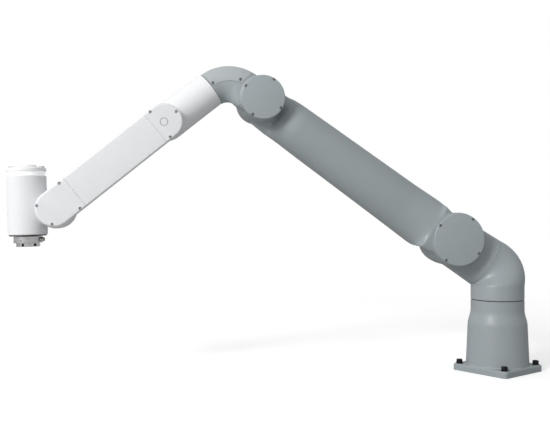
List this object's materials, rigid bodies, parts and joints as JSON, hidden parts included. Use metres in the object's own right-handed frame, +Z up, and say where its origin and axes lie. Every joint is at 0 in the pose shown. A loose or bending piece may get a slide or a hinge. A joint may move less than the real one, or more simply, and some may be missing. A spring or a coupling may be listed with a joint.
{
  "type": "collaborative robot arm",
  "caption": "Six-axis collaborative robot arm: grey base, shoulder, lower arm and elbow, white forearm and wrist, metal tool flange.",
  "frame": {"origin": "centre of the base's underside, on the axis of joint 1", "axes": "+Z up along joint 1; +X and +Y along the square foot's sides, with the connector panel on the -X side; the arm reaches out at 29 degrees from +X towards -Y"},
  "size_m": [1.3564, 0.824, 0.8938],
  "materials": {
    "grey_casting": "satin grey powder paint",
    "grey_cover": "satin grey paint",
    "white_casting": "satin white powder paint",
    "white_cover": "satin white paint",
    "flange_steel": "turned and nickel plated",
    "inner_steel": "machined",
    "screw_steel": "zinc-nickel plated",
    "black_steel": "black oxide",
    "gear_alu": "machined",
    "connector_alu": "nickel plated",
    "black_plastic": "matt black",
    "seal_rubber": "matt black",
    "light_ring": "milky translucent",
    "button_plastic": "satin grey"
  },
  "bodies": {
    "base": {"base_casting": "grey_casting", "base_bolt_1": "black_steel", "base_bolt_2": "black_steel", "base_bolt_3": "black_steel", "base_bolt_4": "black_steel", "connector_panel": "black_plastic", "power_connector": "black_plastic", "signal_connector": "connector_alu", "air_connector": "connector_alu", "j1_gear_unit": "gear_alu"},
    "shoulder": {"shoulder_casting": "grey_casting", "shoulder_joint_housing": "grey_casting", "shoulder_rear_cover": "grey_cover", "j1_seal": "seal_rubber", "j1_output_hub": "inner_steel", "j2_gear_unit": "gear_alu"},
    "lower_arm": {"lower_arm_casting": "grey_casting", "lower_arm_hub_cover": "grey_cover", "hub_cover_screw_1": "screw_steel", "hub_cover_screw_2": "screw_steel", "hub_cover_screw_3": "screw_steel", "hub_cover_screw_4": "screw_steel", "lower_arm_rear_cover": "grey_cover", "j2_output_hub": "inner_steel", "j3_gear_unit": "gear_alu"},
    "elbow": {"elbow_casting": "grey_casting", "elbow_drum_cover": "grey_cover", "drum_cover_screw_1": "screw_steel", "drum_cover_screw_2": "screw_steel", "drum_cover_screw_3": "screw_steel", "drum_cover_screw_4": "screw_steel", "elbow_top_cover": "grey_cover", "top_cover_screw_1": "screw_steel", "top_cover_screw_2": "screw_steel", "j3_output_hub": "inner_steel", "j4_output_hub": "inner_steel"},
    "forearm": {"forearm_casting": "white_casting", "motor_cover": "white_cover", "motor_cover_screw_1": "screw_steel", "motor_cover_screw_2": "screw_steel", "motor_cover_screw_3": "screw_steel", "side_arm_panel": "white_cover", "wrist_drive_cover": "white_cover", "drive_cover_screw_1": "screw_steel", "drive_cover_screw_2": "screw_steel", "drive_cover_screw_3": "screw_steel", "drive_cover_screw_4": "screw_steel", "j4_gear_unit": "gear_alu", "j5_gear_unit": "gear_alu"},
    "wrist": {"wrist_housing": "white_casting", "wrist_light_ring": "light_ring", "wrist_cap": "white_cover", "wrist_seal": "seal_rubber", "j5_output_hub": "inner_steel", "j6_gear_unit": "gear_alu"},
    "guide_button": {"guide_button": "button_plastic"},
    "program_button": {"program_button": "button_plastic"},
    "tool_flange": {"tool_flange": "flange_steel", "tool_connector": "flange_steel"}
  },
  "joints": [
    {"name": "j1_base_turn", "type": "hinge", "parent": "base", "child": "shoulder", "pos_m": [0, 0, 0], "axis": [0, 0, 1], "range_deg": [-150.6, 209.4]},
    {"name": "j2_shoulder", "type": "hinge", "parent": "shoulder", "child": "lower_arm", "pos_m": [0.13073, -0.07354, 0.4], "axis": [0.4903, 0.8716, 0], "range_deg": [-85, 86]},
    {"name": "j3_elbow", "type": "hinge", "parent": "lower_arm", "child": "elbow", "pos_m": [0.63751, -0.35863, 0.80218], "axis": [-0.4903, -0.8716, 0], "range_deg": [-95, 105]},
    {"name": "j4_forearm_turn", "type": "hinge", "parent": "elbow", "child": "forearm", "pos_m": [0.69772, -0.3925, 0.88778], "axis": [0.6783, -0.3816, -0.628], "range_deg": [-180, 180]},
    {"name": "j5_wrist_bend", "type": "hinge", "parent": "forearm", "child": "wrist", "pos_m": [1.12978, -0.63556, 0.48777], "axis": [0.4903, 0.8716, 0], "range_deg": [-232, 127]},
    {"name": "j6_flange_turn", "type": "hinge", "parent": "wrist", "child": "tool_flange", "pos_m": [1.19949, -0.67477, 0.48573], "axis": [-0.0222, 0.0125, -0.9997], "range_deg": [-270, 270]},
    {"name": "guide_button_press", "type": "slide", "parent": "wrist", "child": "guide_button", "axis": [-0.0222, 0.0125, -0.9997], "range_m": [0, 0.0015], "stiffness_N_per_m": 1000, "springref_m": -0.0005},
    {"name": "program_button_press", "type": "slide", "parent": "wrist", "child": "program_button", "axis": [-0.0222, 0.0125, -0.9997], "range_m": [0, 0.0015], "stiffness_N_per_m": 1000, "springref_m": -0.0005}
  ]
}
